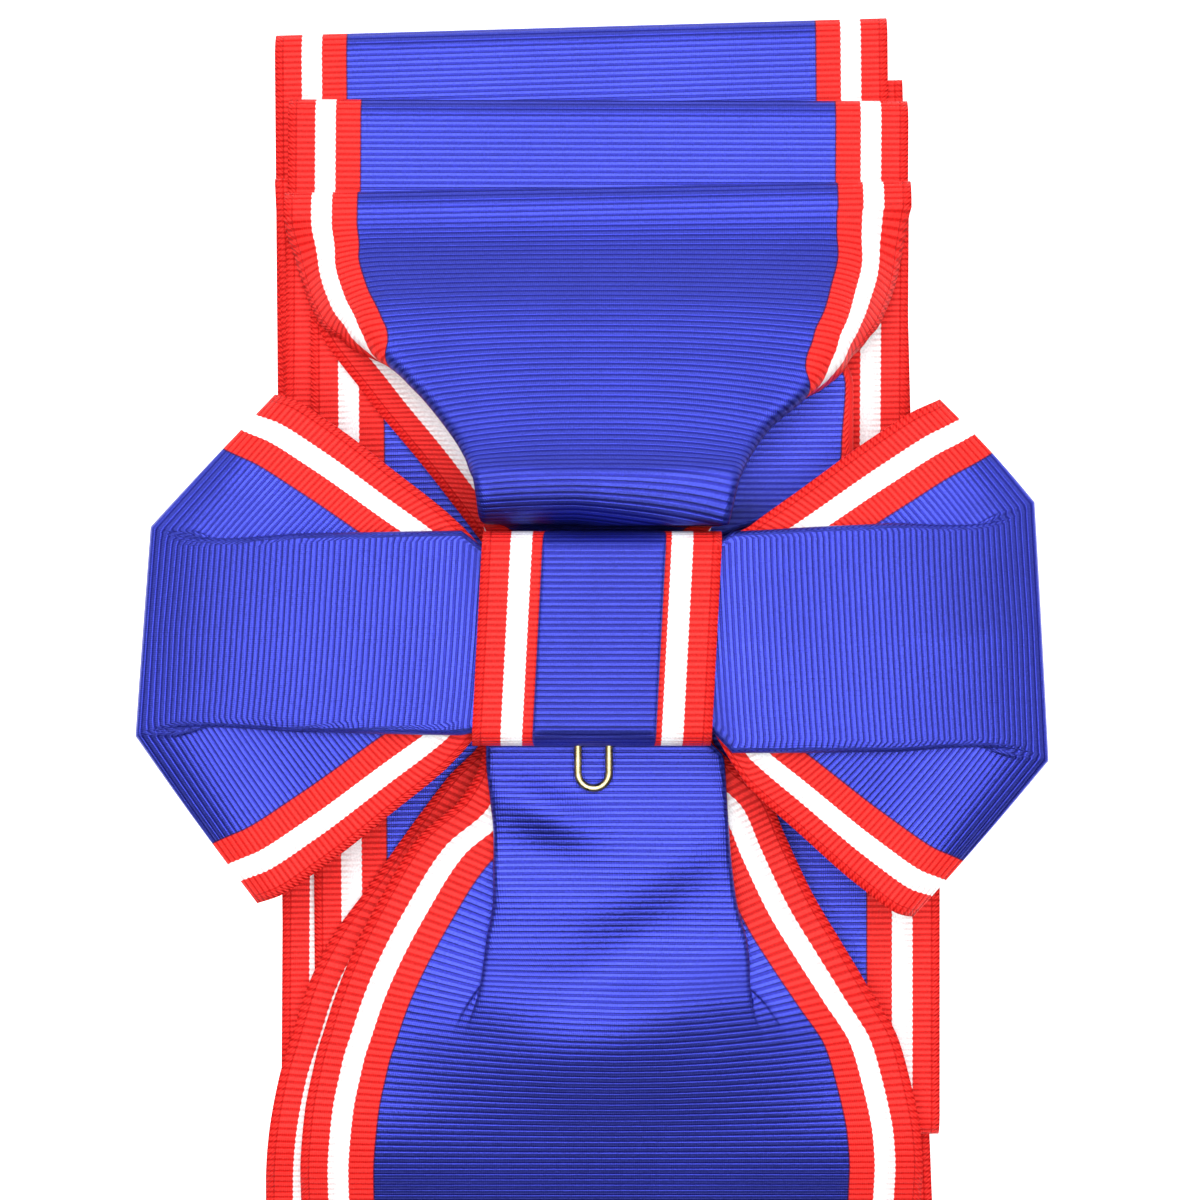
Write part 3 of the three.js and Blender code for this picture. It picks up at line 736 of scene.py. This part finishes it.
# The tails
# The places are shares of half the riband's width. Side and middle are heights in millimetres, at the tail's
# edges and in its middle.
FRONT_TAIL = table(
    "y edge_l outer_l outer_r edge_r side middle",
    (0.011, -0.36, -0.345, 0.345, 0.36, 18.05, 20.75),
    (0.17, -0.36, -0.345, 0.35, 0.365, 18.05, 20.75),
    (0.2, -0.365, -0.345, 0.395, 0.41, 18.05, 20.8),
    (0.265, -0.425, -0.333, 0.405, 0.54, 18.05, 20.9),
    (0.33, -0.56, -0.322, 0.412, 0.595, 18.05, 21.1),
    (0.43, -0.68, -0.323, 0.433, 0.685, 18.05, 21.3),
    (0.51, -0.76, -0.35, 0.475, 0.775, 17.9, 20.9),
    (0.56, -0.802, -0.385, 0.52, 0.832, 17.8, 20.9),
    (0.6, -0.831, -0.415, 0.56, 0.877, 17.7, 21.3),
    (0.63, -0.85, -0.435, 0.585, 0.914, 17.5, 21.5),
    (0.66, -0.868, -0.455, 0.602, 0.947, 17.3, 21.3),
    (0.69, -0.887, -0.473, 0.609, 0.968, 17.0, 20.7),
    (0.73, -0.905, -0.49, 0.617, 0.989, 16.7, 19.4),
    (0.78, -0.925, -0.5, 0.62, 1.012, 16.2, 17.5),
    (0.83, -0.937, -0.5, 0.6, 1.03, 15.8, 15.6),
    (0.9, -0.948, -0.5, 0.6, 1.04, 14.1, 13.4),
    (0.95, -0.95, -0.5, 0.6, 1.04, 11.8, 11.7),
    (1, -0.95, -0.5, 0.6, 1.04, 10.4, 9.9),
)

# Soft swells and hollows in the front tail, in millimetres, each turned by an angle in degrees
TAIL_SWELLS = table(
    "x y angle long wide height",
    (-8.5, -25.5, -22, 9, 3.4, 1.3),
    (-9, -33, -15, 8, 4, -0.8),
    (5.5, -46.5, 40, 17, 5.2, -0.9),
    (12, -33, 30, 9, 5, 0.9),
    (12, -54, 20, 9, 5, 0.8),
)

# How far the wings' edges lie above their rows, in millimetres, so that the stripes keep their widths
WING_UP = table(
    "y up",
    (0.011, 0),
    (0.17, 4.5),
    (0.265, 8.5),
    (0.33, 9),
    (0.43, 9),
    (0.51, 8),
    (0.58, 6.5),
    (0.65, 4.5),
    (0.74, 2.4),
    (0.83, 0.9),
    (0.9, 0.2),
    (1, 0),
)


def swell(points, marks):
    """The heights that soft swells add to a row of points."""
    lift = np.zeros(len(points))
    for x, y, angle, long, wide, height in zip(*marks.values()):
        turn = math.radians(angle)
        dx, dy = points[:, 0] - x, points[:, 1] - y
        a = (dx * math.cos(turn) + dy * math.sin(turn)) / long
        b = (dy * math.cos(turn) - dx * math.sin(turn)) / wide
        lift += height * np.exp(-a * a - b * b)
    return lift


BACK_TAIL = table(
    "y edge_l outer_l outer_r edge_r side middle",
    (0.011, -0.36, -0.345, 0.345, 0.36, 14.0, 16.7),
    (0.17, -0.37, -0.345, 0.345, 0.36, 14.0, 16.7),
    (0.235, -0.475, -0.325, 0.34, 0.45, 14.0, 16.7),
    (0.33, -0.61, -0.32, 0.35, 0.55, 14.0, 16.7),
    (0.42, -0.73, -0.33, 0.36, 0.64, 14.0, 16.7),
    (0.5, -0.84, -0.35, 0.37, 0.72, 14.0, 16.7),
    (0.58, -0.918, -0.4, 0.4, 0.79, 14.0, 15.5),
    (0.675, -0.977, -0.45, 0.42, 0.86, 14.0, 14.2),
    (0.74, -1.015, -0.5, 0.45, 0.9, 14.0, 14.0),
    (0.83, -1.047, -0.5, 0.45, 0.925, 14.0, 14.0),
    (0.9, -1.062, -0.5, 0.45, 0.93, 12.2, 12.2),
    (0.95, -1.068, -0.5, 0.45, 0.93, 9.95, 9.95),
    (1, -1.07, -0.5, 0.45, 0.93, 8.6, 8.6),
)

# The front tail's sides fall away sooner than its middle, by this share of its length. This fades over
# SOONER_FADE of the length and is gone at SOONER_END, so that the front tail stays clear of the back one.
SIDES_SOONER = 0.06
SOONER_END = 0.8
SOONER_FADE = 0.15

# The share of a tail's length over which its pleats open out
FOLD_FADE = 0.2
TAIL_COLUMNS = 109


def build_tail(name, tab, fold_end, sides_sooner=0.0, swells=None, steps=130):
    cloth = Cloth(TAIL_COLUMNS)
    for t in np.linspace(tab["y"][0], 1, steps):
        here = read(tab, "y", t)
        y = -t * TAIL_LENGTH
        panel = (here["outer_r"] - here["outer_l"]) / 2
        halves = []
        folded = 1 - float(np.clip((t - fold_end) / FOLD_FADE + 1, 0, 1))
        folded = ease(folded)
        up = float(smooth(WING_UP["y"], WING_UP["up"], t))
        above = read(tab, "y", max(t - up / TAIL_LENGTH, tab["y"][0]))
        middle = ((here["outer_l"] + here["outer_r"]) / 2 * HALF, y)
        for sign, side in ((-1, "l"), (1, "r")):
            outer, edge = here["outer_" + side], above["edge_" + side]
            hidden = max((1 - panel - abs(edge - outer)) / 2, 0)
            inner = (outer - sign * max(hidden, 0.004)) * HALF
            corner = (edge * HALF, y + up)
            half, depth = pleat_half(corner, (inner, y), (outer * HALF, y), middle)
            plain = open_half(half, (corner, middle))
            outwards = (plain[:, 0] - middle[0]) / (corner[0] - middle[0])
            plain[:, 1] = y + up * outwards ** 2
            halves.append((mix(plain, half, folded), depth))
        places = np.concatenate([halves[0][0], [middle], halves[1][0][::-1]])
        depths = np.concatenate([halves[0][1], [0.0], halves[1][1][::-1]])
        full_width = here["edge_r"] - here["edge_l"]
        aside = np.clip((places[:, 0] - middle[0]) / full_width / HALF * 2, -1, 1)
        dome = np.cos(aside * math.pi / 2) ** 1.5
        sooner_left = float(np.clip((SOONER_END - t) / SOONER_FADE, 0, 1))
        reached = t + sides_sooner * aside ** 2 * sooner_left
        side_z = smooth(tab["y"], tab["side"], reached)
        middle_z = smooth(tab["y"], tab["middle"], reached)
        z = mix(side_z, middle_z, mix(dome, 1 - depths / 2, folded))
        outline = np.concatenate([places, z[:, None]], axis=1)
        cloth.add_outline(outline, len(halves[0][0]), t * TAIL_LENGTH)
    if swells is not None:
        for row in cloth.rows:
            row[:, 2] += swell(row, swells)
    return cloth_mesh(name, cloth)


# Materials
class Nodes:
    """A short way to write a material's maths."""

    def __init__(self, material):
        material.use_nodes = True
        self.tree = material.node_tree
        self.tree.nodes.clear()

    def new(self, kind, **inputs):
        node = self.tree.nodes.new(kind)
        for name, value in inputs.items():
            self.set(node.inputs[name.replace("_", " ")], value)
        return node

    def set(self, socket, value):
        if isinstance(value, bpy.types.NodeSocket):
            self.tree.links.new(value, socket)
        else:
            socket.default_value = value

    def math(self, operation, *values):
        node = self.tree.nodes.new("ShaderNodeMath")
        node.operation = operation
        for socket, value in zip(node.inputs, values):
            self.set(socket, value)
        return node.outputs[0]

    def ramp(self, value, low, high, to_low=0.0, to_high=1.0):
        node = self.tree.nodes.new("ShaderNodeMapRange")
        node.interpolation_type = "SMOOTHSTEP"
        for name, number in (
            ("Value", value), ("From Min", low), ("From Max", high), ("To Min", to_low), ("To Max", to_high),
        ):
            self.set(node.inputs[name], number)
        return node.outputs[0]

    def line(self, value, at, core, reach):
        """A soft line: 1 within a core on both sides of a value, and 0 beyond its reach."""
        away = self.math("ABSOLUTE", self.math("SUBTRACT", value, at))
        return self.math("SUBTRACT", 1.0, self.ramp(away, core, reach))

    def blend(self, share, first, second):
        node = self.tree.nodes.new("ShaderNodeMix")
        node.data_type = "RGBA"
        self.set(node.inputs[0], share)
        self.set(node.inputs[6], first)
        self.set(node.inputs[7], second)
        return node.outputs[2]

    def noise(self, vector, scale, detail=2.0):
        node = self.tree.nodes.new("ShaderNodeTexNoise")
        self.set(node.inputs["Vector"], vector)
        self.set(node.inputs["Scale"], scale)
        self.set(node.inputs["Detail"], detail)
        return node.outputs[0]


# Rib colours: each stripe's valley colour is its crest colour darkened by painted shade in the rib grooves. The
# groove colour is painted shade in the selvedge's groove and between its braid stitches.
BLUE_CREST = (0.042, 0.056, 0.45, 1)
BLUE_VALLEY_SHADE = (0.017, 0.021, 0.27, 1)
RED_CREST = (0.93, 0.033, 0.028, 1)
RED_VALLEY_SHADE = (0.56, 0.008, 0.007, 1)
RED_GROOVE_SHADE = (0.4, 0.004, 0.004, 1)
WHITE_CREST = (0.93, 0.92, 0.93, 1)
PINK_VALLEY_SHADE = (0.78, 0.62, 0.62, 1)
SEAM_DARK = (0.02, 0.005, 0.03, 1)
BRASS_DARK = (0.42, 0.34, 0.16, 1)
BRASS_LIGHT = (0.68, 0.58, 0.33, 1)

# The weave, in millimetres: the warp threads' pitch, the step and the softness of a stripe's border, and the
# heights of the ribs, threads, braid, groove and grain
THREAD_PITCH = 0.33
BORDER_STEP = 0.045
BORDER_SOFT = 0.06
RIB_HEIGHT = 0.072
THREAD_HEIGHT = 0.012
BRAID_HEIGHT = 0.05
GROOVE_DEPTH = 0.08
GRAIN_HEIGHT = 0.05
WHITE_FLATTER = 0.55

# How far the blue stands out as silk
BLUE_SHEEN = 0.85
BLUE_COAT = 0.12


def riband_material():
    material = bpy.data.materials.new("ribbed_riband")
    n = Nodes(material)
    place = n.new("ShaderNodeUVMap")
    place.uv_map = "weave"
    split = n.new("ShaderNodeSeparateXYZ", Vector=place.outputs[0])
    across = n.math("MULTIPLY", n.math("SUBTRACT", split.outputs[0], 0.5), WIDTH)
    edge = n.math("SUBTRACT", HALF, n.math("ABSOLUTE", across))
    ribs = split.outputs[1]
    wave = n.math("COSINE", n.math("MULTIPLY", ribs, 2 * math.pi))
    crest = n.ramp(wave, -1.0, 0.45)

    # Warp threads cross the ribs and make a fine dashed grain
    threads = n.math("COSINE", n.math("MULTIPLY", across, 2 * math.pi / THREAD_PITCH))
    grain_x = n.math("MULTIPLY", across, 3.2)
    grain_y = n.math("MULTIPLY", ribs, 2.4)
    grain_place = n.new("ShaderNodeCombineXYZ", X=grain_x, Y=grain_y)
    grain = n.noise(grain_place.outputs[0], 1.0, 3.0)
    cloud_place = n.new("ShaderNodeCombineXYZ", X=across, Y=ribs)
    cloud = n.noise(cloud_place.outputs[0], 0.06, 2.0)

    # The stripes' borders step a little at each rib
    serrated = n.math("ADD", edge, n.math("MULTIPLY", wave, BORDER_STEP))
    white_starts, white_ends, blue = (
        n.ramp(serrated, border - BORDER_SOFT, border + BORDER_SOFT)
        for border in (OUTER_RED, WHITE_END, INNER_RED)
    )
    white = n.math("SUBTRACT", white_starts, white_ends)
    seam = n.line(edge, INNER_RED, 0.05, 0.22)

    # Painted shade: in every stripe the rib valleys take a darker colour than the crests.
    red_ribs_shaded = n.blend(crest, RED_VALLEY_SHADE, RED_CREST)
    # On the white, the painted shade in the rib valleys is pink, most strongly near the outer red.
    pink_near_red = n.ramp(edge, OUTER_RED + 0.3, OUTER_RED + 2.2, 1.0, 0.12)
    pink_shade_mask = n.math("MULTIPLY", pink_near_red, n.math("SUBTRACT", 1.0, crest))
    white_ribs_shaded = n.blend(pink_shade_mask, WHITE_CREST, PINK_VALLEY_SHADE)
    blue_ribs_shaded = n.blend(crest, BLUE_VALLEY_SHADE, BLUE_CREST)
    colour = n.blend(blue, n.blend(white, red_ribs_shaded, white_ribs_shaded), blue_ribs_shaded)
    colour = n.blend(n.math("MULTIPLY", seam, 0.75), colour, SEAM_DARK)

    # The selvedge is a flat braid with slanting stitches, inside a groove. Painted shade darkens the groove and
    # the low places between the stitches.
    groove = n.line(edge, SELVEDGE, 0.03, 0.17)
    selvedge = n.ramp(edge, SELVEDGE - 0.1, SELVEDGE + 0.1, 1.0, 0.0)
    slant = n.math("ADD", n.math("MULTIPLY", ribs, 3 * math.pi), n.math("MULTIPLY", edge, 9.0))
    braid = n.math("COSINE", slant)
    stitch_gap_shade = n.math("MULTIPLY", selvedge, n.ramp(braid, -0.9, 0.0, 0.4, 0.0))
    colour = n.blend(n.math("MAXIMUM", n.math("MULTIPLY", groove, 0.6), stitch_gap_shade), colour, RED_GROOVE_SHADE)
    shade = n.math("ADD", n.ramp(grain, 0.3, 0.7, 0.86, 1.08), n.ramp(cloud, 0.35, 0.65, -0.03, 0.03))
    tone = n.new("ShaderNodeHueSaturation", Color=colour, Value=shade)

    ribbed = n.math("MULTIPLY", crest, RIB_HEIGHT)
    rib_height = n.math("ADD", ribbed, n.math("MULTIPLY", threads, THREAD_HEIGHT))
    braid_height = n.math("ADD", n.math("MULTIPLY", braid, BRAID_HEIGHT), BRAID_HEIGHT)
    braid_more = n.math("SUBTRACT", braid_height, rib_height)
    height = n.math("ADD", rib_height, n.math("MULTIPLY", braid_more, selvedge))
    height = n.math("SUBTRACT", height, n.math("MULTIPLY", groove, GROOVE_DEPTH))
    height = n.math("ADD", height, n.math("MULTIPLY", grain, GRAIN_HEIGHT))
    flatter = n.math("SUBTRACT", 1.0, n.math("MULTIPLY", white, WHITE_FLATTER))
    height = n.math("MULTIPLY", height, flatter)
    bump = n.new("ShaderNodeBump", Height=n.math("MULTIPLY", height, MM), Strength=0.9, Distance=1.0)
    shader = n.new(
        "ShaderNodeBsdfPrincipled",
        Base_Color=tone.outputs[0],
        Roughness=0.37,
        Metallic=n.math("MULTIPLY", blue, BLUE_SHEEN),
        Normal=bump.outputs[0],
    )
    shader.inputs["Specular IOR Level"].default_value = 0.08
    n.set(shader.inputs["Coat Weight"], n.math("MULTIPLY", blue, BLUE_COAT))
    shader.inputs["Coat Roughness"].default_value = 0.4
    n.new("ShaderNodeOutputMaterial", Surface=shader.outputs[0])
    return material


def brass_material():
    material = bpy.data.materials.new("pale_brass")
    n = Nodes(material)
    place = n.new("ShaderNodeTexCoord")
    wear = n.noise(place.outputs["Object"], 900.0, 3.0)
    colour = n.blend(n.ramp(wear, 0.35, 0.7), BRASS_DARK, BRASS_LIGHT)
    rough = n.ramp(wear, 0.3, 0.7, 0.22, 0.4)
    shader = n.new("ShaderNodeBsdfPrincipled", Base_Color=colour, Roughness=rough, Metallic=1.0)
    n.new("ShaderNodeOutputMaterial", Surface=shader.outputs[0])
    return material


def floor_material():
    material = bpy.data.materials.new("pale_floor")
    n = Nodes(material)
    shader = n.new("ShaderNodeBsdfPrincipled", Base_Color=(0.92, 0.92, 0.92, 1), Roughness=0.9)
    shader.inputs["Emission Color"].default_value = (1, 1, 1, 1)
    shader.inputs["Emission Strength"].default_value = 0.6
    n.new("ShaderNodeOutputMaterial", Surface=shader.outputs[0])
    return material


# The brass ring. Its upper end runs on out of sight below the knot.
RING_HIDDEN = 1.6
RING_X = -0.015
RING_BELOW = 0.09


def build_ring():
    sides, around = 14, 64
    vertices, faces = [], []
    centre = np.array([RING_X * KNOT_WIDTH, -KNOT_LENGTH / 2 - RING_BELOW * KNOT_LENGTH, RING_Z])
    for i in range(around):
        angle = 2 * math.pi * i / around
        rise = RING_STRAIGHT / 2 + RING_HIDDEN if math.sin(angle) > 1e-6 else -RING_STRAIGHT / 2
        for j in range(sides):
            turn = 2 * math.pi * j / sides
            reach = RING_WIDTH / 2 + RING_WIRE / 2 * math.cos(turn)
            height = RING_WIRE / 2 * math.sin(turn)
            point = centre + [reach * math.cos(angle), reach * math.sin(angle) + rise, height]
            vertices.append(point * MM + KNOT_CENTRE)
            k, m = (i + 1) % around, (j + 1) % sides
            faces.append((i * sides + j, k * sides + j, k * sides + m, i * sides + m))
    mesh = bpy.data.meshes.new("ring_wire")
    mesh.from_pydata([tuple(v) for v in vertices], [], faces)
    mesh.polygons.foreach_set("use_smooth", np.ones(len(faces), bool))
    piece = bpy.data.objects.new("ring_wire", mesh)
    bpy.context.scene.collection.objects.link(piece)
    return piece


# Stage, lights and camera
def build_stage():
    size = 3.0
    mesh = bpy.data.meshes.new("floor")
    corners = [(-size, -size, 0), (size, -size, 0), (size, size, 0), (-size, size, 0)]
    mesh.from_pydata(corners, [], [(0, 1, 2, 3)])
    floor = bpy.data.objects.new("floor", mesh)
    bpy.context.scene.collection.objects.link(floor)
    floor.data.materials.append(floor_material())


def add_area(name, place, size, power):
    light = bpy.data.lights.new(name, "AREA")
    light.size = size
    light.energy = power
    holder = bpy.data.objects.new(name, light)
    holder.location = place
    direction = -np.array(place, float)
    holder.rotation_euler = Vector(direction).to_track_quat("-Z", "Y").to_euler()
    bpy.context.scene.collection.objects.link(holder)


def build_light():
    """A white room that is brightest towards the north, with one soft light overhead."""
    world = bpy.data.worlds.new("pale_room")
    world.use_nodes = True
    tree = world.node_tree
    place = tree.nodes.new("ShaderNodeTexCoord")
    split = tree.nodes.new("ShaderNodeSeparateXYZ")
    tree.links.new(place.outputs["Generated"], split.inputs[0])
    north = tree.nodes.new("ShaderNodeMapRange")
    north.interpolation_type = "SMOOTHSTEP"
    for name, number in (("From Min", -0.4), ("From Max", 0.45), ("To Min", 0.0), ("To Max", 1.0)):
        north.inputs[name].default_value = number
    tree.links.new(split.outputs[1], north.inputs["Value"])
    tree.links.new(north.outputs[0], tree.nodes["Background"].inputs[1])
    tree.nodes["Background"].inputs[0].default_value = (1, 1, 1, 1)
    bpy.context.scene.world = world
    add_area("overhead", (-0.02, 0.02, 1.1), 1.2, 19.5)
    bpy.context.scene.view_settings.view_transform = "Standard"


# The camera looks straight down. Its scale is the photo's 6.55 px a millimetre at the upper lays.
CAMERA_ABOVE = 430.0
UPPER_LAYS_Z = 16.0
PHOTO_WIDTH = 1200
PIXELS_PER_MM = 6.55
CAMERA_X, CAMERA_Y = 0.45, 5.7


def build_camera():
    data = bpy.data.cameras.new("photo_camera")
    data.sensor_width = 36
    data.lens = PIXELS_PER_MM * CAMERA_ABOVE / PHOTO_WIDTH * data.sensor_width
    data.clip_start = 0.01
    camera = bpy.data.objects.new("photo_camera", data)
    camera.location = KNOT_CENTRE + np.array([CAMERA_X, CAMERA_Y, CAMERA_ABOVE + UPPER_LAYS_Z]) * MM
    bpy.context.scene.collection.objects.link(camera)
    bpy.context.scene.camera = camera


build_camera()
build_light()
build_stage()
riband_cloth = riband_material()
brass = brass_material()

# The share of each tail's length at which its pleats have opened out
BACK_OPEN = 0.68
FRONT_OPEN = 0.69
riband = build_riband()
bow = build_bow()
knot = build_knot()
back_tail = build_tail("back_tail_cloth", BACK_TAIL, BACK_OPEN)
front_tail = build_tail("front_tail_cloth", FRONT_TAIL, FRONT_OPEN, SIDES_SOONER, TAIL_SWELLS)

# Each sheet's node, flat width and length in metres, how it is held, and what it rests on. The knot's cloth
# is narrower than the riband, as what would be folded in behind it isn't made.
RIBAND_WIDTH = WIDTH * MM
KNOT_FLAT_WIDTH = 0.067
sheets = (
    (riband, "sash_riband", RIBAND_WIDTH, 1.92, "folded", []),
    (bow, "bow_band", RIBAND_WIDTH, 0.235, "gathered", ["riband_cloth"]),
    (knot, "knot_band", KNOT_FLAT_WIDTH, 0.080, "gathered", ["bow_cloth"]),
    (back_tail, "tail_back", RIBAND_WIDTH, 0.092, "gathered", ["riband_cloth"]),
    (front_tail, "tail_front", RIBAND_WIDTH, 0.092, "gathered", ["back_tail_cloth"]),
)
for piece, node, width, length, held, rests_on in sheets:
    piece.data.materials.append(riband_cloth)
    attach(piece, "root")
    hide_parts(node)

ring = build_ring()
ring.data.materials.append(brass)
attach(ring, "root")
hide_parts("badge_ring")
